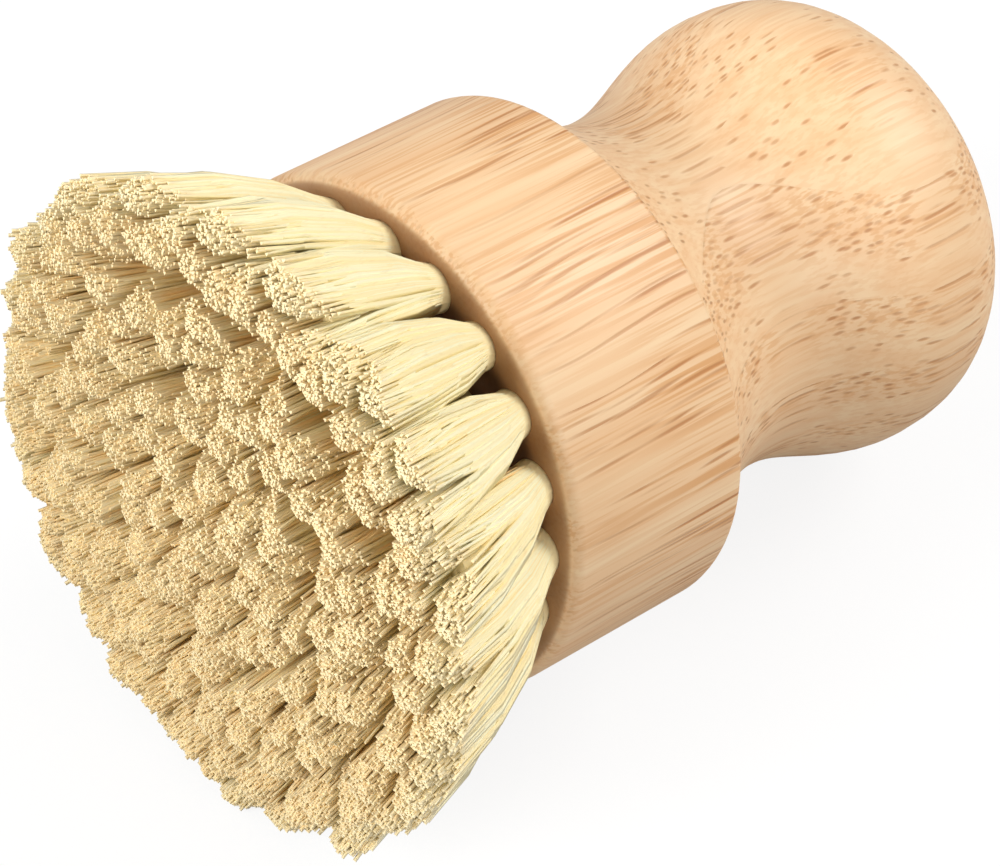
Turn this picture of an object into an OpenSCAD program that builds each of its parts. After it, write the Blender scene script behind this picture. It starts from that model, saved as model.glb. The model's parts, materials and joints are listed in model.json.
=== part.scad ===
// Round palm brush for pots and dishes. One piece of bamboo board is turned
// into a block, a waisted neck and a knob that fills the palm. The block's
// face is drilled with rings of splayed blind holes. In each hole a bundle of
// plant fibre is folded over a flat wire anchor that bites into the wood.
//
// Millimetres, +Z up. The brush is drawn in its own frame first: the block's
// face is z = 0, the knob is towards +Z and the fibre points towards -Z. It is
// then laid on its side, as it comes to rest on a table: two outer tufts and
// the knob touch the table at z = 0, and the knob points towards +X.

/* [Turned handle] */
// Diameter of the round block
block_d = 54; // [50:1:62]
// Height of the block, from its drilled face to its back edge
block_h = 21.9; // [19:0.1:30]
// Radius that breaks the edge of the drilled face
face_edge = 1.6; // [0.6:0.1:1.8]
// Radius that breaks the back edge of the block
back_edge = 0.7; // [0.3:0.1:1.2]
// Diameter where the neck leaves the back of the block
foot_d = 50.7; // [45:0.1:51]
// Diameter of the neck at its waist
neck_d = 38.7; // [30:0.1:42]
// Distance from the back of the block to the waist
waist_up = 14; // [10:0.5:18]
// Largest diameter of the knob
knob_d = 47.8; // [44:0.1:50]
// Distance from the waist to the knob's largest diameter
knob_up = 18.6; // [14:0.1:24]
// Height of the knob's dome above its largest diameter
dome_h = 14.8; // [10:0.1:20]
// Squareness of the dome, where 2 is a plain ellipse
dome_power = 2.5; // [2:0.1:3]

/* [Holes and anchors] */
// Tufts in the outer ring
outer_tufts = 20; // [18:1:22]
// Tufts in the middle ring
middle_tufts = 14; // [12:1:15]
// Tufts in the inner ring
inner_tufts = 7; // [5:1:7]
// Bore of each blind hole
hole_d = 5; // [4.2:0.1:5.3]
// Depth of each hole along its middle, down to its flat bottom
hole_deep = 8.6; // [7:0.1:10]
// Wood left between the outer holes and the block's side
rim = 2; // [1.6:0.1:3]
// Thickness of the flat wire anchor
anchor_t = 0.45; // [0.3:0.05:0.7]
// Width of the flat wire, along the hole
anchor_w = 2; // [1.4:0.1:2.4]
// How far each end of an anchor bites into the wood
bite = 0.45; // [0.2:0.05:0.7]

/* [Fibre tufts] */
// Diameter across the fan of fibre at the outer tips
fan_d = 69; // [64:1:78]
// How far the outer tips stand off the block's face
outer_reach = 19; // [16:0.5:26]
// How much further the middle of the fan stands out
crown = 4; // [0.5:0.1:5]
// Squareness of the trimmed dome, where 2 is a plain curve and more rounds only the rim
trim_power = 6; // [2:0.5:8]
// How much faster a tuft opens at its hole than at its tips
bow = 0.6; // [0:0.05:0.8]
// Gap kept between neighbouring tufts at their tips
tip_gap = 0.45; // [0.3:0.05:1]
// Clearance between a folded tuft and the wall of its hole
root_gap = 0.05; // [0.02:0.01:0.1]
// Depth of the furrows between locks of fibre, as a share of a tuft's radius
furrow = 0.16; // [0:0.01:0.25]
// Unevenness of the cut tips
ragged = 0.7; // [0:0.1:1]

/* [Hidden] */
// Facets of a full circle
round_n = 96;
// Steps along the cove, the knob's lower side and the dome
curve_steps = 12;
dome_steps = 16;
// Corners of a tuft's section
sides = 18;
// Rings of holes round the middle one
rings = 3;
// Corner fullness of a tuft's section at its tips
cell_power = 3.2;
// Half width of a leaning hole's mouth along the lean, as a share of the hole's radius
mouth_share = 1.07;
// Distance from the edge of an anchor to the bottom of its hole, for the fold of fibre
anchor_off = 1.2;
// Least wood between the bottoms of neighbouring holes in a ring
hole_wall = 0.3;
// How far a drill starts in front of the face, so that its leaning end clears it
drill_start = 4;
// Powers that shape the curve of the cove, and of the knob's lower side
cove_power = 1.9;
knob_power = 1.08;
// Where a tuft's section is drawn, as shares of its length
shaft_levels = [0, 0.34, 0.66];
// Where the middle of a tuft's cut end begins, as a share of its radius
end_share = 0.58;

block_r = block_d / 2;
neck_r = neck_d / 2;
knob_r = knob_d / 2;
cove = foot_d / 2 - neck_r;
waist_z = block_h + waist_up;
knob_z = waist_z + knob_up;
hole_r = hole_d / 2;

// The fan opens from the rim of the drilled face to the outer tips, fastest at
// the face. Its tips share a plane at full reach, before they are trimmed.
function opened(t) = t + bow * t * (1 - t);
reach = outer_reach + crown;
base_r = block_r - rim;
tip_r = base_r + (fan_d / 2 - base_r) / opened(outer_reach / reach);
cell = tip_r / (rings + 0.5);
counts = [1, inner_tufts, middle_tufts, outer_tufts];
ring_names = ["centre", "inner", "middle", "outer"];

// Hole ring radii at the face come from the outer one. Holes lean as the fan
// does, or less where the bottoms of a ring's holes would meet.
outer_hole = base_r - hole_r * mouth_share;
function hole_at(i) = outer_hole * i / rings;
function tip_at(i) = cell * i;
function bottom_at(i) = (hole_r + hole_wall / 2) / sin(180 / counts[i]);
function lean_of(i) = i == 0
    ? 0
    : atan(min((tip_at(i) - hole_at(i)) / reach, (hole_at(i) - bottom_at(i)) / hole_deep));
// The two lowest outer tufts straddle the line that the brush lies on
function turn_of(i, k) = (k - 0.5) * 360 / counts[i];

function two(k) = k < 10 ? str("0", k) : str(k);
function tuft_name(i, k) = i == 0 ? "centre_tuft" : str(ring_names[i], "_tuft_", two(k));
tuft_list = [for (i = [3, 2, 1, 0]) for (k = [1 : counts[i]]) [i, k]];
tuft_names = [for (q = tuft_list) tuft_name(q[0], q[1])];

// Outline of the turned handle, from the middle of its face to the top of its dome
function face_arc() = [for (a = [0 : 22.5 : 90])
    [block_r - face_edge + face_edge * sin(a), face_edge - face_edge * cos(a)]];
function back_arc() = [for (a = [0 : 30 : 90])
    [block_r - back_edge + back_edge * cos(a), block_h - back_edge + back_edge * sin(a)]];
function cove_arc() = [for (s = [0 : curve_steps])
    let (u = 1 - s / curve_steps)
    [neck_r + cove * pow(u, cove_power), waist_z - waist_up * u]];
function knob_rise() = [for (s = [1 : curve_steps])
    let (u = pow(s / curve_steps, knob_power))
    [neck_r + (knob_r - neck_r) * (1 - cos(180 * u)) / 2, waist_z + knob_up * s / curve_steps]];
function dome_arc() = [for (s = [1 : dome_steps])
    let (a = 90 * s / dome_steps)
    [knob_r * pow(max(cos(a), 0), 2 / dome_power), knob_z + dome_h * pow(sin(a), 2 / dome_power)]];
outline = concat([[0, 0]], face_arc(), back_arc(), cove_arc(), knob_rise(), dome_arc());

// Chance values that stay the same each time for one tuft
function chance(i, k, m, n) = rands(0, 1, n, 1000 * m + 60 * i + k);
function signed_pow(v, p) = v < 0 ? -pow(-v, p) : pow(v, p);

// Corner j of a tuft's section at the face, and at the far plane of the fan
function foot_pt(i, a) =
    [hole_at(i) + (hole_r - root_gap) * cos(a) / cos(lean_of(i)), (hole_r - root_gap) * sin(a)];
function tip_pt(i, a, f) =
    let (h = (cell - tip_gap) / 2)
    let (e = 2 / cell_power)
    i == 0
        ? [h * f * cos(a), h * f * sin(a)]
        : let (g = tip_gap / 2 / (tip_at(i) - h) * 180 / PI)
          let (r = tip_at(i) + h * f * signed_pow(cos(a), e))
          let (w = (180 / counts[i] - g) * f * signed_pow(sin(a), e))
          [r * cos(w), r * sin(w)];
function blend(p, q, t) = p + (q - p) * t;
function raise_pt(p, z) = [p[0], p[1], z];

// Where the trimmed dome of the fan lies, as a distance off the block's face
function trim_at(r) = reach - crown * pow(min(r / (fan_d / 2), 1), trim_power);
tuft_end = [for (i = [0 : rings]) trim_at(tip_at(i))];

// All corners of one tuft: folded root, shaft, ragged rim and tip
function level(i, a, f, d) =
    raise_pt(blend(foot_pt(i, a), tip_pt(i, a, f), opened(d / reach)), -d);
function cut_pt(i, a, f, off) =
    let (flat = blend(foot_pt(i, a), tip_pt(i, a, f), opened(tuft_end[i] / reach)))
    level(i, a, f, trim_at(norm(flat)) + ragged * off);
function root_pt(i, a, up, s) =
    let (c = cos(lean_of(i)))
    let (n = sin(lean_of(i)))
    let (x = (hole_r - root_gap) * s * cos(a))
    [hole_at(i) + x * c - up * n, (hole_r - root_gap) * s * sin(a), x * n + up * c];
function tuft_points(i, k) =
    let (dip = chance(i, k, 1, sides))
    let (cut = chance(i, k, 2, sides))
    let (mid = chance(i, k, 3, sides + 1))
    // Every other corner lies in a furrow, and all of them vary a little
    let (wide = [for (j = [0 : sides - 1]) 1 - furrow * (0.12 * dip[j] + (j % 2) * (0.35 + 0.5 * dip[j]))])
    let (low = hole_deep - root_gap)
    let (turn = 360 / sides)
    concat(
        [root_pt(i, 0, low, 0)],
        [for (j = [0 : sides - 1]) root_pt(i, j * turn, low, 1)],
        [for (d = shaft_levels) for (j = [0 : sides - 1]) level(i, j * turn, wide[j], d * tuft_end[i])],
        [for (j = [0 : sides - 1]) cut_pt(i, j * turn, wide[j], -0.3 - cut[j])],
        [for (j = [0 : sides - 1]) cut_pt(i, j * turn, end_share, mid[j] - 0.5)],
        [cut_pt(i, 0, 0, mid[sides] - 0.6)]);
function band(s) = [for (j = [0 : sides - 1])
    let (a = 1 + s * sides + j)
    let (b = 1 + s * sides + (j + 1) % sides)
    each [[a, b, b + sides], [a, b + sides, a + sides]]];
// Rings of corners: the root, the shaft's levels and two at the cut end
levels = 1 + len(shaft_levels) + 2;
last = 1 + levels * sides;
tuft_faces = concat(
    [for (j = [0 : sides - 1]) [0, 1 + (j + 1) % sides, 1 + j]],
    [for (s = [0 : levels - 2]) each band(s)],
    [for (j = [0 : sides - 1])
        [last, last - sides + j, last - sides + (j + 1) % sides]]);

// Resting pose: the lean at which the lowest tufts and the knob touch together
function low_of(pts, lean) = max([for (p = pts) p[0] * cos(lean) + p[1] * sin(lean)]);
low_tufts = [for (k = [1, counts[3]]) for (p = tuft_points(3, k))
    [p[0] * cos(turn_of(3, k)) - p[1] * sin(turn_of(3, k)), p[2]]];
function rest_lean(a, b, n) =
    let (m = (a + b) / 2)
    n == 0 ? m : (low_of(low_tufts, m) > low_of(outline, m) ? rest_lean(m, b, n - 1) : rest_lean(a, m, n - 1));
lean = rest_lean(0, 30, 22);
rest_h = max(low_of(low_tufts, lean), low_of(outline, lean));
knob_x = max([for (p = outline) p[1] * cos(lean) + p[0] * sin(lean)]);
tip_x = min([for (q = tuft_list) for (p = tuft_points(q[0], q[1]))
    p[2] * cos(lean) - (p[0] * cos(turn_of(q[0], q[1])) - p[1] * sin(turn_of(q[0], q[1]))) * sin(lean)]);
mid_x = (knob_x + tip_x) / 2;

module laid() {
    translate([-mid_x, 0, rest_h])
        rotate([0, 90 + lean, 0])
            children();
}

// Carries its children to hole k of ring i, with +Z up the hole from the face
module at_hole(i, k) {
    rotate([0, 0, turn_of(i, k)])
        translate([hole_at(i), 0, 0])
            rotate([0, -lean_of(i), 0])
                children();
}

module anchor_bar() {
    translate([0, 0, hole_deep - anchor_off - anchor_w / 2])
        cube([hole_d + 2 * bite, anchor_t, anchor_w], center = true);
}

module blind_hole() {
    translate([0, 0, -drill_start])
        cylinder(r = hole_r, h = hole_deep + drill_start, $fn = round_n);
    anchor_bar();
}

module handle() {
    color([0.93, 0.76, 0.57])
        difference() {
            rotate_extrude($fn = round_n)
                polygon(outline);
            for (q = tuft_list)
                at_hole(q[0], q[1])
                    blind_hole();
        }
}

module anchors() {
    color([0.72, 0.72, 0.7])
        for (q = tuft_list)
            at_hole(q[0], q[1])
                anchor_bar();
}

module tuft(i, k) {
    color([0.94, 0.87, 0.66])
        difference() {
            rotate([0, 0, turn_of(i, k)])
                polyhedron(points = tuft_points(i, k), faces = tuft_faces, convexity = 6);
            at_hole(i, k)
                anchor_bar();
        }
}

laid() {
    handle();
    anchors();
    for (q = tuft_list)
        tuft(q[0], q[1]);
}
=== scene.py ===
# %% [markdown]
# A round palm brush in bamboo and plant fibre.
#
# The real brush is two crafts in one object. A turner makes the block, neck
# and knob from one piece of laminated bamboo board. A brush maker then folds
# bundles of plant fibre over flat wire and drives them into drilled holes.
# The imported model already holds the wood, the holes and a plain solid for each
# bundle. This lesson gives the wood its grain and turns each plain bundle into
# some fifteen hundred separate fibres that fill the same space.

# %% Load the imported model
import json
import math

import bmesh
import bpy
import numpy as np
from mathutils import Matrix, Vector


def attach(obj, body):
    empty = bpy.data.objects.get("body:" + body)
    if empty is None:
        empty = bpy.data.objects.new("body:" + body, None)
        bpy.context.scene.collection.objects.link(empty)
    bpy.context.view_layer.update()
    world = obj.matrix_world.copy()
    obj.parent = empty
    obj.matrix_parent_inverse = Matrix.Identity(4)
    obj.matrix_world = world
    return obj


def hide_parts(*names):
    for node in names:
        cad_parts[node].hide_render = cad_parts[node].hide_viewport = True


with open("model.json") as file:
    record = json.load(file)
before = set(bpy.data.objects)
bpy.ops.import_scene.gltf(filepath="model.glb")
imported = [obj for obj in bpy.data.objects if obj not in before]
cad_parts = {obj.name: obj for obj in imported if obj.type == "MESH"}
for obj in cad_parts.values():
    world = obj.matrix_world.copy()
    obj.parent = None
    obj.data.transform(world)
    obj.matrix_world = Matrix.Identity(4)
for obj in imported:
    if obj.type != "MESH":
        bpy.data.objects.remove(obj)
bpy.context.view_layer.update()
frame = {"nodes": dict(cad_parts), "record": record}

nodes = frame["nodes"]

# %% [markdown]
# The brush lies on its side, so none of its own directions is one of the
# room's. Grain, holes and tufts all follow the turned axis. It is easier to
# work in the brush's own frame: its origin in the middle of the drilled face,
# Z towards the knob, X down to the table and Y across. The record's ring mount
# gives the axis, and the wood's own corners say where the face is.

# %% The brush's own frame
mm = 0.001
ring = next(m for m in frame["record"]["mounts"] if m["name"] == "holder_ring")
axis = Vector(ring["axis"]).normalized()
across = Vector((0, 1, 0))
down = across.cross(axis)
wood_along = [(v.co - Vector(ring["pos_m"])).dot(axis) for v in nodes["handle"].data.vertices]
face_middle = Vector(ring["pos_m"]) + axis * min(wood_along)
turn = Matrix((down, across, axis))
wood_length = max(wood_along) - min(wood_along)
print(f"turned length {wood_length / mm:.1f} mm, block radius {ring['dims']['r_mm']} mm")


def in_brush(point):
    """A point of the room, in the brush's own frame."""
    return turn @ (point - face_middle)


def in_room(point):
    """A point of the brush's own frame, in the room."""
    return turn.transposed() @ point + face_middle


# %% [markdown]
# The photograph was taken with a long lens from above the bristle end. A
# camera and a turned outline were fitted together to the photograph's edges,
# which gave the place, the direction and the angle of view used here. A camera
# looks along its own -Z, so a direction is turned into a rotation first, and
# the small tilt of the photograph is a turn about that same axis.

# %% Camera
camera_place = Vector((-195.80, -205.53, 339.22)) * mm
camera_target = Vector((-8.33, -1.81, 23.37)) * mm
camera_lens = 153.4
camera_tilt = math.radians(-2.13)

camera = bpy.data.objects.new("camera", bpy.data.cameras.new("camera"))
bpy.context.scene.collection.objects.link(camera)
camera.data.lens = camera_lens
camera.data.sensor_width = 36
camera.data.clip_start = 0.01
camera.location = camera_place
aim = (camera_target - camera_place).to_track_quat("-Z", "Y").to_matrix()
camera.rotation_mode = "QUATERNION"
camera.rotation_quaternion = (aim @ Matrix.Rotation(-camera_tilt, 3, "Z")).to_quaternion()
bpy.context.scene.camera = camera
print(f"camera {(camera_place - camera_target).length:.2f} m from the brush")

# %% [markdown]
# Materials are sums over the surface: how far along the grain a point is, how
# near it is to a fibre bundle, and so on. In Blender every sum is a Math node,
# and a long chain of them is hard to read. The small class below wraps one
# socket, so that a sum can be written as it would be on paper. Any other node
# comes from one method that takes its type, its settings and its inputs.

# %% Sums on sockets
class Sum:
    """One socket of a finish, on which the plain operators make Math nodes."""

    def __init__(self, finish, socket):
        self.finish = finish
        self.socket = socket

    def maths(self, operation, *values):
        return self.finish.node("ShaderNodeMath", {"operation": operation}, dict(enumerate(values)))

    def __add__(self, other):
        return self.maths("ADD", self, other)

    def __sub__(self, other):
        return self.maths("SUBTRACT", self, other)

    def __rsub__(self, other):
        return self.maths("SUBTRACT", other, self)

    def __mul__(self, other):
        return self.maths("MULTIPLY", self, other)

    def __truediv__(self, other):
        return self.maths("DIVIDE", self, other)

    def __abs__(self):
        return self.maths("ABSOLUTE", self)

    __radd__ = __add__

    def whole(self):
        return self.maths("FLOOR", self)

    def part(self):
        return self.maths("FRACT", self)

    def rise(self, start, end):
        """0 before start and 1 after end, with a soft change between."""
        return self.finish.node("ShaderNodeMapRange", {"interpolation_type": "SMOOTHSTEP"},
                                {"Value": self, "From Min": start, "From Max": end})

    def fall(self, start, end):
        """1 before start and 0 after end."""
        return 1 - self.rise(start, end)


class Finish:
    """A material whose nodes come from one method."""

    def __init__(self, name):
        self.material = bpy.data.materials.new(name)
        self.material.use_nodes = True
        self.tree = self.material.node_tree
        self.tree.nodes.clear()

    def node(self, kind, settings=None, values=None, out=0):
        made = self.tree.nodes.new(kind)
        for name, setting in (settings or {}).items():
            setattr(made, name, setting)
        for place, value in (values or {}).items():
            if isinstance(value, Sum):
                self.tree.links.new(value.socket, made.inputs[place])
            else:
                made.inputs[place].default_value = value
        return Sum(self, made.outputs[out]) if made.outputs else None

    def vector(self, x, y, z):
        return self.node("ShaderNodeCombineXYZ", None, {"X": x, "Y": y, "Z": z})

    def split(self, vector):
        parts = self.node("ShaderNodeSeparateXYZ", None, {"Vector": vector}).socket.node.outputs
        return [Sum(self, part) for part in parts]

    def noise(self, place, detail=1.0):
        """Soft noise from 0 to 1, about one bump to each unit of place."""
        return self.node("ShaderNodeTexNoise", None,
                         {"Vector": place, "Scale": 1.0, "Detail": detail, "Roughness": 0.5})

    def blend(self, share, first, second):
        """The first colour where share is 0, the second where it is 1."""
        return self.node("ShaderNodeMix", {"data_type": "RGBA"},
                         {0: share, 6: first, 7: second}, out=2)

    def end(self, values, height=None, depth=0.0):
        """Ends in a Principled shader, with a bump where a height is given."""
        if height is not None:
            values["Normal"] = self.node("ShaderNodeBump", None,
                                         {"Strength": 1.0, "Distance": depth, "Height": height})
        shader = self.node("ShaderNodeBsdfPrincipled", None, values)
        self.node("ShaderNodeOutputMaterial", None, {"Surface": shader})
        return self.material


def colour(red, green, blue):
    """A colour from a paint chart, 0 to 255 each, as a shader reads it."""
    def straight(level):
        level = level / 255
        return level / 12.92 if level <= 0.04045 else ((level + 0.055) / 1.055) ** 2.4
    return (straight(red), straight(green), straight(blue), 1.0)


print("a finish can be written as sums")

# %% [markdown]
# Bamboo board is glued from flat slats cut from the wall of the cane. The
# cane's strength is in thousands of dark fibre bundles that run its length.
# They crowd together at the outer skin and thin out inwards, so each slat goes
# from dense to pale, and at the glue line the next one starts dense again. The
# same bundles show as long streaks where the lathe cut along them, as short
# dashes on a slope, and as dots on end grain. A solid pattern gives all three
# for free: it is worked out in the brush's own frame, as dots across the grain
# drawn out along it. On the photograph's knob the dense and pale bands and the
# glue line can be traced back onto the wood, and they repeat every 7.9 mm.
#
# The dots are the cells of a Voronoi texture in the two directions across the
# grain. Each cell brings its own random colour, which decides whether a bundle
# is there at all, how dark it is and where along the grain it fades. Two noises
# move the cells a little along the way, so that no streak is ruler straight.
# The drilled face is rough end grain and is painted brown, a colour that is
# partly its own and partly painted shade from the tufts around it. Between the
# holes, where the tufts shade it most, painted shade makes it darkest. How
# far a point is from the axis is compared there as a square, in square mm.

# %% Bamboo board
slat_thick = 7.9
slat_wide = 21.0
glue_line = -18.9
slat_slope = 0.07
bundle_gap = 0.7
bundle_sway = 2.4
face_skin = 0.4
holes_within = (480.0, 560.0)
grain_depth = 0.04


def grain_place(finish):
    """Object coordinates in the brush's own frame, in millimetres."""
    room = finish.node("ShaderNodeTexCoord", None, None, out="Object")
    shift = (turn @ face_middle) / -mm
    turned = finish.node("ShaderNodeMapping", None, {
        "Vector": room, "Location": shift, "Rotation": turn.to_euler(), "Scale": (1 / mm,) * 3})
    return finish.split(turned)


def facing_axis(finish):
    """1 on end grain, 0 where the surface runs along the fibre."""
    normal = finish.node("ShaderNodeNewGeometry", None, None, out="Normal")
    return abs(finish.node("ShaderNodeVectorMath", {"operation": "DOT_PRODUCT"},
                           {0: normal, 1: axis}, out="Value"))


def bamboo():
    wood = Finish("bamboo_board")
    x, y, along = grain_place(wood)
    depth = x + y * slat_slope
    side = y - x * slat_slope

    slat = (depth - glue_line) / slat_thick
    slat_share = slat.part()
    offset = wood.node("ShaderNodeTexWhiteNoise", {"noise_dimensions": "1D"}, {"W": slat.whole()})
    board = side / slat_wide + offset
    board_tone = wood.node("ShaderNodeTexWhiteNoise", {"noise_dimensions": "2D"},
                           {"Vector": wood.vector(slat.whole(), board.whole(), 0.0)})
    mottle = wood.noise(wood.vector(depth * 0.16, side * 0.1, along * 0.05), 2.0)
    dense = (slat_share + (mottle - 0.5) * 0.5).fall(0.3, 0.62)
    dense_body = dense * slat_share.rise(0.0, 0.3)

    sway = wood.noise(wood.vector(depth * 0.07, side * 0.07, along * 0.04))
    drift = wood.noise(wood.vector(depth * 0.07 + 40, side * 0.07, along * 0.04))
    across_slat = (depth + sway * bundle_sway) / bundle_gap
    along_slat = (side + drift * bundle_sway) / bundle_gap
    bundle_at = wood.vector(across_slat, along_slat, 0.0)
    bundles = wood.node("ShaderNodeTexVoronoi", {"voronoi_dimensions": "2D"},
                        {"Vector": bundle_at, "Scale": 1.0, "Randomness": 0.9})
    cell = bundles.socket.node.outputs
    chance, chance_b, chance_c = wood.split(Sum(wood, cell["Color"]))
    first_row = slat_share.fall(0.03, 0.09)
    there = ((dense * 0.65 + first_row * 0.1 + 0.3) - chance).rise(0.0, 0.1)
    own_place = wood.vector(chance * 37 + depth * 0.1, chance_b * 53 + side * 0.1, along * 0.085)
    lasting = wood.noise(own_place).rise(0.3, 0.48)
    near_face = along.rise(0.6, 5.0)
    near_back = along.rise(8.0, 19.0) * along.fall(21.5, 23.5)
    bundle = bundles.fall(0.1, 0.38) * there * lasting * (near_face * 0.8 + 0.2)

    fine = wood.noise(wood.vector(depth * 2.2, side * 2.2, along * 0.06), 2.0)
    silk = wood.noise(wood.vector(depth * 0.7, side * 0.7, along * 0.03), 2.0)
    end_grain = facing_axis(wood)
    strip = (slat_share.fall(0.0, 0.02) + slat_share.rise(0.985, 1.0)) * mottle.rise(0.45, 0.6)

    body = wood.blend(silk.rise(0.25, 0.75), colour(246, 213, 170), colour(240, 197, 150))
    body = wood.blend(dense_body * 0.4, body, colour(236, 190, 142))
    body = wood.blend(board_tone * 0.15, body, colour(222, 178, 136))
    fine_share = (fine - 0.45).rise(0.0, 0.16) * (dense * 0.3 + near_back * 0.35 + 0.2)
    body = wood.blend(fine_share, body, colour(220, 160, 100))
    body = wood.blend(end_grain.rise(0.8, 1.0) * 0.7, body, colour(190, 146, 106))
    streak = wood.blend(end_grain.rise(0.25, 0.8), colour(190, 126, 70), colour(140, 94, 60))
    body = wood.blend(bundle * (0.4 + chance_c * 0.4 + near_back * 0.2), body, streak)
    body = wood.blend(strip * 0.12, body, colour(176, 128, 88))
    # Painted shade with end grain: the drilled face is painted darker brown, partly its own rough end
    # grain and partly the shade of the tufts on it.
    on_face = along.fall(0.0, face_skin)
    body = wood.blend(on_face * 0.6, body, colour(146, 100, 66))
    # Painted shade: between the holes, where the tufts shade the face, it is painted near black-brown.
    painted_shade_between_holes = (x * x + y * y).fall(*holes_within) * on_face
    body = wood.blend(painted_shade_between_holes * 0.75, body, colour(84, 52, 38))
    rough = 0.36 + fine * 0.16
    height = fine * 0.35 - bundle * 0.8
    return wood.end({"Base Color": body, "Roughness": rough, "Specular IOR Level": 0.5},
                    height, grain_depth * mm)


bamboo_board = bamboo()
print(f"bamboo: {len(bamboo_board.node_tree.nodes)} nodes")

# %% [markdown]
# The turned handle is right as it was modelled, drilled holes and all, but its
# mesh is loose triangles, so each would shade as a flat chip. A copy with its
# corners merged shades smoothly over the turned curves, and stays crisp where
# the faces meet at more than 35 degrees, as at the mouths of the holes.

# %% Turned handle
crisp = math.radians(35)
same_spot = 0.001 * mm


def new_piece(name, mesh, material):
    """An object at the origin that rides on the brush's one body."""
    piece = bpy.data.objects.new(name, mesh)
    bpy.context.scene.collection.objects.link(piece)
    mesh.materials.clear()
    mesh.materials.append(material)
    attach(piece, "root")
    return piece


def smooth_copy(node):
    """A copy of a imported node's mesh with merged corners and smooth shading."""
    shape = bmesh.new()
    shape.from_mesh(node.data)
    bmesh.ops.remove_doubles(shape, verts=shape.verts, dist=same_spot)
    for face in shape.faces:
        face.smooth = True
    for edge in shape.edges:
        edge.smooth = edge.is_manifold and edge.calc_face_angle(0) < crisp
    mesh = bpy.data.meshes.new(node.name + "_smooth")
    shape.to_mesh(mesh)
    shape.free()
    return mesh


turned_handle = new_piece("turned_handle", smooth_copy(nodes["handle"]), bamboo_board)
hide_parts("handle")
print(f"turned handle: {len(turned_handle.data.polygons)} faces")

# %% [markdown]
# The anchors are flat bars of drawn wire, deep in the holes. They show only if
# the brush is taken apart, but every part of it gets a finish.

# %% Wire anchors
def drawn_wire():
    wire = Finish("drawn_wire")
    x, y, along = grain_place(wire)
    draw_marks = wire.noise(wire.vector(x * 2, y * 30, along * 30), 2.0)
    tone_and_shade = wire.blend(draw_marks, colour(176, 174, 168), colour(206, 204, 198))
    return wire.end({"Base Color": tone_and_shade, "Metallic": 1.0, "Roughness": 0.28 + draw_marks * 0.2},
                    draw_marks, 0.01 * mm)


nodes["anchors"].data.materials.clear()
nodes["anchors"].data.materials.append(drawn_wire())
print("anchors: drawn wire")

# %% [markdown]
# The fibre is the dried leaf or stem fibre of a desert plant: cream, straight,
# stiff and never two quite the same colour. Each fibre carries two numbers, and
# the finish reads both. The first is its own tone, and for the fibres that stand
# in the cut end it also holds painted shade: they are painted deeper and more
# golden, as the shade in the gaps between them looks. The second is the share of
# the fibre's length at each point, which makes the last tenth, towards the cut
# end, pale again.

# %% Plant fibre
def plant_fibre():
    fibre = Finish("plant_fibre")
    tone_and_shade = fibre.node("ShaderNodeAttribute", {"attribute_name": "tone_and_shade"}, None, out="Fac")
    reach = fibre.node("ShaderNodeAttribute", {"attribute_name": "reach"}, None, out="Fac")
    x, y, along = grain_place(fibre)
    flecks = fibre.noise(fibre.vector(x * 2, y * 2, along * 0.15), 2.0)
    body = fibre.blend(tone_and_shade.rise(0.0, 0.6), colour(255, 247, 208), colour(255, 236, 180))
    # Painted shade: fibres of the cut end carry a higher value and are painted golden, for the shade
    # in the gaps between them.
    body = fibre.blend(tone_and_shade.rise(0.5, 1.0), body, colour(255, 218, 152))
    body = fibre.blend(reach.rise(0.9, 1.0) * 0.7, body, colour(255, 236, 192))
    body = fibre.blend(flecks.rise(0.55, 0.8) * 0.2, body, colour(214, 172, 112))
    return fibre.end({"Base Color": body, "Roughness": 0.42 + flecks * 0.15,
                      "Specular IOR Level": 0.4})


fibre_finish = plant_fibre()
print(f"fibre: {len(fibre_finish.node_tree.nodes)} nodes")

# %% [markdown]
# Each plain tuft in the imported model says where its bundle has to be. Cutting
# it with a plane gives its outline there, and three cuts are enough: at the
# drilled face, at the belly that the bundle opens to just outside its hole, and
# near the tips. A fibre keeps the same share of the way from the middle to the
# edge at each cut, so together the fibres fill the tuft's own form.

# %% Outlines of the plain tufts
face_cut = 0.4
belly_cut = 8.0
tip_cut = 17.0
on_plane = 0.0001 * mm
tuft_names = sorted(name for name in nodes if "_tuft" in name)


def outline(node, off_face):
    """The outline of a tuft at a distance off the face: its middle, angles and radii."""
    shape = bmesh.new()
    shape.from_mesh(node.data)
    bmesh.ops.remove_doubles(shape, verts=shape.verts, dist=same_spot)
    everything = shape.verts[:] + shape.edges[:] + shape.faces[:]
    middle_of_cut = in_room(Vector((0, 0, -off_face * mm)))
    cut = bmesh.ops.bisect_plane(shape, geom=everything, dist=on_plane,
                                 plane_co=middle_of_cut, plane_no=axis)
    corners = [in_brush(g.co) for g in cut["geom_cut"] if isinstance(g, bmesh.types.BMVert)]
    shape.free()
    spots = np.array([corner[:2] for corner in corners]) / mm
    middle = (spots.max(0) + spots.min(0)) / 2
    around = np.arctan2(spots[:, 1] - middle[1], spots[:, 0] - middle[0])
    order = np.argsort(around)
    return middle, around[order], np.linalg.norm(spots - middle, axis=1)[order]


def on_circle(angle):
    """Points of a circle of radius 1 at some angles."""
    return np.stack([np.cos(angle), np.sin(angle)], 1)


def spread(shape, share, angle):
    """Points at a share of the way from the middle of an outline to its edge."""
    middle, around, radius = shape
    edge = np.interp(angle, around, radius, period=2 * math.pi)
    return middle + (share * edge)[:, None] * on_circle(angle)


def end_of(node):
    """How far off the face a tuft reaches, in millimetres."""
    return -min(in_brush(v.co).z for v in node.data.vertices) / mm


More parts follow.
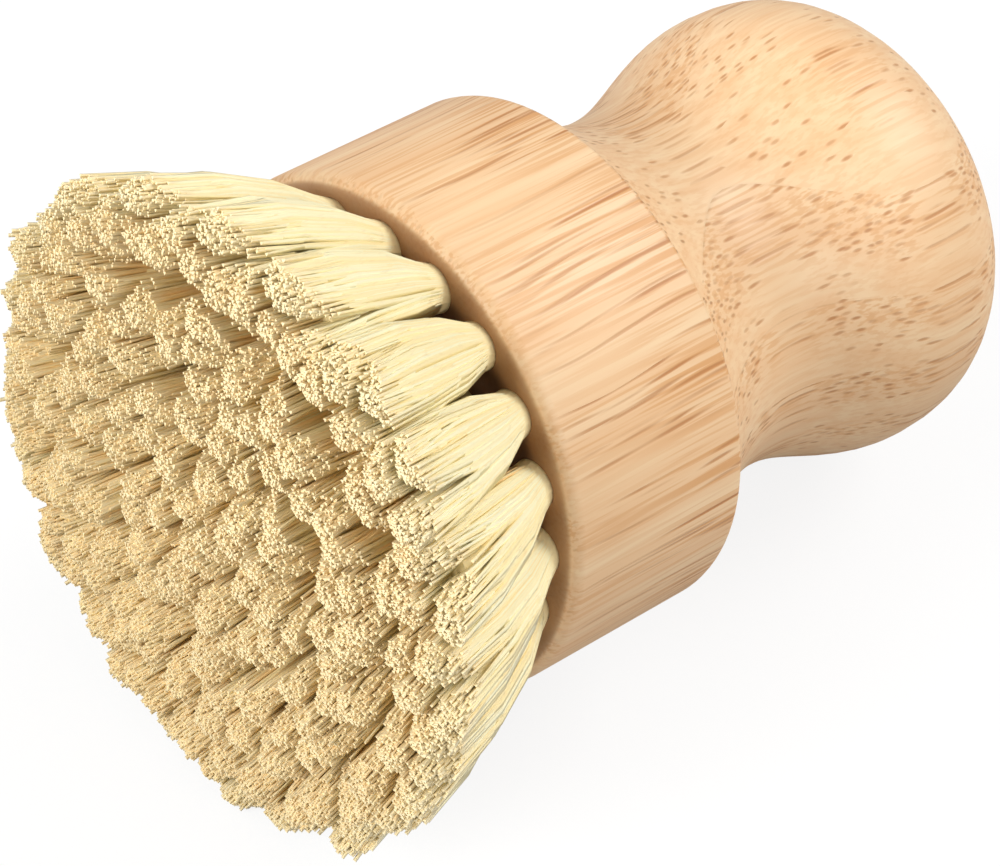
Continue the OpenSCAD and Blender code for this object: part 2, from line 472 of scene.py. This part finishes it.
cuts = (face_cut, belly_cut, tip_cut)
outlines = {name: [outline(nodes[name], cut) for cut in cuts] for name in tuft_names}
tuft_ends = {name: end_of(nodes[name]) for name in tuft_names}
shortest, longest = min(tuft_ends.values()), max(tuft_ends.values())
print(f"{len(tuft_names)} tufts, {shortest:.1f} to {longest:.1f} mm long")

# %% [markdown]
# Only the outside of a tuft and its tips are ever seen. So a plain core fills
# the middle and the hole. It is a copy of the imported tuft, a twentieth thinner,
# which narrows further at its end and stops well short of the tips, so that it
# doesn't show between them. Long, thicker fibres wrap it from the hole to the
# tip, and many short, fine ones stand in its end. That gives full tufts with
# far fewer faces than full-length fibres all through.

# %% Core of a tuft
core_share = 0.95
core_end_share = 0.78
core_narrows = 4.0
core_stop = 5.8


def between(name, depth, values):
    """A value of a tuft at some depth off the face, from its value at the three cuts."""
    if depth < belly_cut:
        first, second, share = values[0], values[1], (depth - face_cut) / (belly_cut - face_cut)
    else:
        first, second, share = values[1], values[2], (depth - belly_cut) / (tip_cut - belly_cut)
    return first + (second - first) * share


def core_mesh(name):
    """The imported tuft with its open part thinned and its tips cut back."""
    middles = [middle for middle, around, radius in outlines[name]]
    widths = [radius.mean() for middle, around, radius in outlines[name]]
    core = bmesh.new()
    core.from_mesh(nodes[name].data)
    bmesh.ops.remove_doubles(core, verts=core.verts, dist=same_spot)
    for corner in core.verts:
        place = in_brush(corner.co) / mm
        if place.z < 0:
            depth = -place.z
            core_end = tuft_ends[name] - core_stop
            kept = min(depth, core_end)
            share = np.interp(depth, [core_end - core_narrows, core_end], [core_share, core_end_share])
            narrower = share * between(name, kept, widths) / between(name, depth, widths)
            off_middle = np.array(place.xy) - between(name, depth, middles)
            thinned = between(name, kept, middles) + off_middle * narrower
            corner.co = in_room(Vector((thinned[0], thinned[1], -kept)) * mm)
    mesh = bpy.data.meshes.new(name + "_core")
    core.to_mesh(mesh)
    core.free()
    return mesh


cores = {name: core_mesh(name) for name in tuft_names}
print(f"{len(cores)} cores, {sum(len(core.polygons) for core in cores.values())} faces")

# %% [markdown]
# Where each fibre stands is drawn over a plain disc first, and the disc is
# stretched over the tuft's outlines later. The long fibres form its edge and
# the short ones fill it. The root of a random number spreads them evenly, since
# a disc has more room far out than near its middle.
#
# The fibres of a real tuft cling together in a few locks. Their centres follow
# the golden angle, as the seeds in a flower head do, which spreads any number
# of them well, and each fibre joins the nearest one. The chance in it all comes
# from a seeded generator, so the brush is the same at each run.

# %% Where the fibres of a tuft stand
long_fibres = 240
short_fibres = 1250
edge_from = 0.96
filled_to = 0.98
locks_in_tuft = 4
golden_angle = 2.4
any_turn = 6
first_lock = 0.35
locks_to = 0.82
lock_drift = 0.08


def spots_in_disc(chance):
    """Where each fibre stands in its tuft, as a point of a disc of radius 1."""
    edge = chance.uniform(edge_from, 1.0, long_fibres)
    inner = np.sqrt(chance.random(short_fibres)) * filled_to
    share = np.concatenate([edge, inner])
    angle = chance.random(len(share)) * 2 * math.pi
    return share[:, None] * on_circle(angle)


def lock_centres(chance):
    """A few points spread over the disc, as seeds are in a flower head."""
    number = np.arange(locks_in_tuft)
    angle = chance.random() * any_turn + number * golden_angle
    share = np.sqrt((number + first_lock) / locks_in_tuft) * locks_to
    centres = share[:, None] * on_circle(angle)
    return centres + chance.normal(0, lock_drift, centres.shape)


def on_outline(shape, spot):
    """The same spot of the disc on a tuft's outline."""
    return spread(shape, np.linalg.norm(spot, axis=1), np.arctan2(spot[:, 1], spot[:, 0]))


print(f"{long_fibres + short_fibres} fibres in each tuft, in {locks_in_tuft} locks")

# %% [markdown]
# The maker trims the filled brush on a spinning cutter, so the tips of all
# tufts lie on one low dome with a rounded rim. How far it stands off the drilled
# face is a short sum over the fan: the high power keeps it flat in the middle
# and lets it fall away only near the rim.

# %% Trimmed face
dome_reach = 23.5
rim_drop = 3.4
fan_radius = 34.8
rim_power = 6


def trimmed(spots):
    """How far off the drilled face the fibre was cut, over some spots of the fan."""
    share = np.minimum(np.linalg.norm(spots, axis=1) / fan_radius, 1)
    return dome_reach - rim_drop * share ** rim_power


print(f"trimmed at {dome_reach} mm in the middle, {dome_reach - rim_drop:.1f} mm at the rim")

# %% [markdown]
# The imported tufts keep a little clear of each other, but real bundles open
# until they meet. So each outline is widened, hardly outwards and much more
# across, because the room to fill lies between neighbours of one ring. A spot's
# way from the middle is split along those two directions with dot products.

# %% Closing the gaps
flare_out = 1.08
flare_across = 1.24
belly_flare = 0.7
no_length = 0.001


def outwards(middle):
    """The direction away from the brush's axis, at the middle of a tuft."""
    return middle / max(np.linalg.norm(middle), no_length)


def flared(spots, middle, amount):
    """Spots pushed apart, mostly across the line from the brush's axis, to close the gaps."""
    out = outwards(middle)
    side = np.array([-out[1], out[0]])
    off = spots - middle
    wider_out = np.outer(off @ out * (flare_out - 1), out)
    wider_across = np.outer(off @ side * (flare_across - 1), side)
    return spots + (wider_out + wider_across) * amount


print(f"tips {flare_across} times as wide across, {flare_out} times outwards")

# %% [markdown]
# Now each fibre gets its path. It runs from its place in the hole through the
# same place of the belly to the same place of the tip, in one smooth bend. Each
# small departure from that order is something seen on a real brush:
#
# - a lock draws its tips together, and its head is rounded and stands a little
#   higher or lower than the next one, which gives the face its steps and pits
# - single tips are frayed, so a cut end looks soft instead of sliced
# - some ends splay, and a few fibres of the flank stray from the bundle
#
# At the rim of the fan most of this fades out, because the cutter leaves a
# clean edge there. Fibres in the cut end get a deeper tone than the flanks,
# which is painted shade for the gaps between them.

# %% Paths of the fibres of a tuft
lock_pull = 0.25
lock_step = 0.9
lock_highest = 0.15
lock_round = 4.0
rim_wide = 1.4
rim_evened = 0.85
rim_unfrayed = 0.5
to_dome = 4
over_dome = 0.5
fray = 0.55
loose_share = 0.12
loose_splay = 0.5
neat_splay = 0.24
stray_share = 0.008
stray_bend = 1.3
neat_bend = 0.08
long_thick = 0.7
short_thick = 0.46
thick_spread = (0.7, 1.3)
long_levels = (0, 0.3, 0.65, 1)
short_levels = (0.72, 1)
root_in_hole = 1.6
foot_share = 0.9
tone_spread = 0.6
# Painted shade: the value added to the tone of fibres in the cut end, which paints them golden.
inner_painted_shade = 0.4
flank_from = 0.1


def lay_fibres(name, chance):
    """A list of paths in the brush's own frame, with a thickness and a tone for each, the tone holding
    painted shade for fibres of the cut end.
    """
    at_face, at_belly, at_tip = outlines[name]
    spot = spots_in_disc(chance)
    count = len(spot)
    is_long = np.arange(count) < long_fibres
    centres = lock_centres(chance)
    away = np.linalg.norm(spot[:, None] - centres[None], axis=2)
    lock = away.argmin(1)
    step = chance.uniform(-1, lock_highest, locks_in_tuft) * lock_step

    # The same spot of the disc at the three cuts, and which way the fibre then runs
    foot = on_outline(at_face, spot * foot_share)
    belly = flared(on_outline(at_belly, spot), at_belly[0], belly_flare)
    pulled = spot + (centres[lock] - spot) * lock_pull
    tip = flared(on_outline(at_tip, pulled), at_tip[0], 1)
    slope = (tip - belly) / (tip_cut - belly_cut)

    # How long it is: up to the dome, less the lock's own step and rounding and the fray
    at_rim = np.clip(np.linalg.norm(tip, axis=1) - (fan_radius - rim_wide), 0, 1)
    drop = step[lock] - lock_round * away.min(1) ** 2
    frayed = np.abs(chance.normal(0, 1, count)) * fray * (1 - at_rim * rim_unfrayed)
    dome = trimmed(tip + slope * to_dome) + over_dome
    length = dome + drop * (1 - at_rim * rim_evened) - frayed
    splay = np.where(chance.random(count) < loose_share, loose_splay, neat_splay)[:, None]
    end = tip + slope * (length - tip_cut)[:, None] + chance.normal(0, 1, (count, 2)) * splay

    # One smooth bend through the three cuts: the share of the way at which each fibre
    # passes the belly gives the point that it bends towards
    share = ((belly_cut - face_cut) / (length - face_cut))[:, None]
    bend = (belly - foot * (1 - share) ** 2 - end * share ** 2) / (2 * share * (1 - share))
    astray = (chance.random(count) < stray_share) & is_long
    bend += chance.normal(0, 1, (count, 2)) * np.where(astray, stray_bend, neat_bend)[:, None]

    def along_path(fibre, share):
        left = 1 - share
        bent = bend[fibre] * 2 * share * left
        place = foot[fibre] * left ** 2 + bent + end[fibre] * share ** 2
        return (*place, -(face_cut + (length[fibre] - face_cut) * share))

    lean = (at_belly[0] - at_face[0]) / (belly_cut - face_cut)
    paths = []
    for fibre in range(count):
        if is_long[fibre]:
            root = (*(foot[fibre] - lean * root_in_hole), root_in_hole)
            paths.append([root] + [along_path(fibre, level) for level in long_levels])
        else:
            paths.append([along_path(fibre, level) for level in short_levels])
    thick = chance.uniform(*thick_spread, count) * np.where(is_long, long_thick, short_thick)
    outside = (spot @ outwards(at_tip[0]) > flank_from) & name.startswith("outer")
    # Fibres off the outer flank get painted shade added to their tone.
    tone_and_shade = chance.random(count) * tone_spread + np.where(outside, 0.0, inner_painted_shade)
    return paths, thick, tone_and_shade


print(f"long fibres {long_thick} mm thick, short ones {short_thick} mm")

# %% [markdown]
# A fibre is a curve with a three-cornered section, which keeps it to fourteen
# faces at most. Blender turns all the curves of a tuft into one mesh, corner
# after corner in the order of the curves. So each fibre's tone with its painted
# shade, and how far along it each corner is, can be written as two plain lists.
# The tubes come out open at both ends, and a small face closes each one. The
# core goes in last.
#
# A few ends would dip under the table where the brush rests on its fibre. Real
# ones bend there, so their points are lifted onto it.

# %% Meshing the tufts
section_corners = 3
foot_thick = 0.34
core_tone = 0.5
core_reach = 0.5
first_seed = 100

section = bpy.data.curves.new("fibre_section", "CURVE")
section_ring = section.splines.new("POLY")
section_ring.points.add(section_corners - 1)
for number, point in enumerate(section_ring.points):
    angle = 2 * math.pi * number / section_corners
    point.co = (math.cos(angle) / 2, math.sin(angle) / 2, 0, 1)
section_ring.use_cyclic_u = True
section_maker = bpy.data.objects.new("fibre_section", section)
bpy.context.scene.collection.objects.link(section_maker)


def is_long_path(path):
    """Whether a path is that of a long fibre, which has more points."""
    return len(path) > len(short_levels)


def fibre_strands(name, paths, thick):
    """All fibres of a tuft as a mesh of three-sided tubes with open ends, clear of the table."""
    strands = bpy.data.curves.new(name, "CURVE")
    strands.dimensions = "3D"
    strands.bevel_mode = "OBJECT"
    strands.bevel_object = section_maker
    for path, width in zip(paths, thick):
        spots = (np.array(path) * mm) @ np.array(turn) + np.array(face_middle)
        spots[:, 2] = np.maximum(spots[:, 2], width * mm / 2)
        strand = strands.splines.new("POLY")
        strand.points.add(len(path) - 1)
        strand.points.foreach_set("co", np.column_stack([spots, np.ones(len(path))]).ravel())
        widths = np.full(len(path), width)
        widths[-1] = min(width, short_thick)
        if is_long_path(path):
            widths[:2] = foot_thick
        strand.points.foreach_set("radius", widths * mm)
    maker = bpy.data.objects.new(name, strands)
    bpy.context.scene.collection.objects.link(maker)
    made = maker.evaluated_get(bpy.context.evaluated_depsgraph_get())
    mesh = bpy.data.meshes.new_from_object(made)
    bpy.data.objects.remove(maker)
    return mesh


def tuft_mesh(name, paths, thick, tone_and_shade):
    """The closed fibres and the core of a tuft, with a tone, painted shade included, and a reach at
    every corner.
    """
    shape = bmesh.new()
    shape.from_mesh(fibre_strands(name, paths, thick))
    open_ends = [edge for edge in shape.edges if edge.is_boundary]
    bmesh.ops.holes_fill(shape, edges=open_ends, sides=section_corners)
    for face in shape.faces:
        face.smooth = True
    for edge in open_ends:
        edge.smooth = False
    shape.from_mesh(cores[name])
    mesh = bpy.data.meshes.new(name)
    shape.to_mesh(mesh)
    shape.free()

    core_size = len(cores[name].vertices)
    corners = [len(path) * section_corners for path in paths]
    levels = [(0, *long_levels) if is_long_path(path) else short_levels for path in paths]
    tones_and_shade = [np.repeat(tone_and_shade, corners), np.full(core_size, core_tone)]
    reaches = [np.repeat(np.concatenate(levels), section_corners), np.full(core_size, core_reach)]
    for title, values in (("tone_and_shade", tones_and_shade), ("reach", reaches)):
        attribute = mesh.attributes.new(title, "FLOAT", "POINT")
        attribute.data.foreach_set("value", np.concatenate(values).astype(np.float32))
    return mesh


fibre_faces = 0
for number, name in enumerate(tuft_names):
    laid = lay_fibres(name, np.random.default_rng(first_seed + number))
    tuft = new_piece(name + "_fibres", tuft_mesh(name, *laid), fibre_finish)
    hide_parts(name)
    fibre_faces += len(tuft.data.polygons)
bpy.data.objects.remove(section_maker)
print(f"{len(tuft_names)} tufts, {fibre_faces} faces")

# %% [markdown]
# The brush lies on a plain pale table. The table shows white to the camera, as
# the photograph's background does, but keeps part of the soft shadow that the
# lamps give, so the brush doesn't seem to float.

# %% Table
shadow_kept = 0.35
table_half = 3.0
table_grey = 0.45
table_glow = 1.3


def pale_table():
    table = Finish("pale_table")
    paint = table.node("ShaderNodeBsdfDiffuse", None, {"Color": (*[table_grey] * 3, 1)})
    white = table.node("ShaderNodeEmission", None, {"Color": (1, 1, 1, 1), "Strength": table_glow})
    seen = table.node("ShaderNodeLightPath", None, None, out="Is Camera Ray")
    white_share = seen * (1 - shadow_kept)
    shader = table.node("ShaderNodeMixShader", None, {0: white_share, 1: paint, 2: white})
    table.node("ShaderNodeOutputMaterial", None, {"Surface": shader})
    return table.material


sheet = bmesh.new()
bmesh.ops.create_grid(sheet, x_segments=1, y_segments=1, size=table_half)
table_mesh = bpy.data.meshes.new("table")
sheet.to_mesh(table_mesh)
sheet.free()
table_mesh.materials.append(pale_table())
table = bpy.data.objects.new("table", table_mesh)
bpy.context.scene.collection.objects.link(table)
print("table laid")

# %% [markdown]
# The light in the photograph is soft, and it comes from more than one side: the
# top of the knob and the middle of the block are brightest, the undersides
# turn slowly darker, and the cut face of the fibre isn't in shadow. Four broad
# round lamps give that. Each was rendered alone once, and their strengths were
# worked out from those pictures so that the sum came near the photograph's
# tones. A few were then adjusted. The pale room fills in the rest: it is
# white where the camera sees it, and weaker as a light.

# %% Lamps and room
lamps = {
    "top_lamp": (Vector((0.82, -0.25, 0.84)), 7.3),
    "front_lamp": (Vector((-1.00, 0.15, 0.60)), 11.6),
    "near_lamp": (Vector((0.15, -0.95, 0.60)), 2.8),
    "far_lamp": (Vector((-0.35, 0.90, 0.65)), 1.2),
}
lamp_wide = 0.7
room_level = 0.4

for name, (place, power) in lamps.items():
    lamp = bpy.data.objects.new(name, bpy.data.lights.new(name, "AREA"))
    lamp.data.shape = "DISK"
    lamp.data.size = lamp_wide
    lamp.data.energy = power
    lamp.location = place
    lamp.rotation_mode = "QUATERNION"
    lamp.rotation_quaternion = (-place).to_track_quat("-Z", "Y")
    bpy.context.scene.collection.objects.link(lamp)

room = bpy.data.worlds.new("room")
room.use_nodes = True
backdrop = room.node_tree.nodes["Background"]
backdrop.inputs["Color"].default_value = (1, 1, 1, 1)
path = room.node_tree.nodes.new("ShaderNodeLightPath")
level = room.node_tree.nodes.new("ShaderNodeMapRange")
level.inputs["To Min"].default_value = room_level
level.inputs["To Max"].default_value = 1.0
room.node_tree.links.new(path.outputs["Is Camera Ray"], level.inputs["Value"])
room.node_tree.links.new(level.outputs["Result"], backdrop.inputs["Strength"])
bpy.context.scene.world = room
bpy.context.scene.view_settings.view_transform = "Standard"
print(f"{len(lamps)} lamps, pale room")
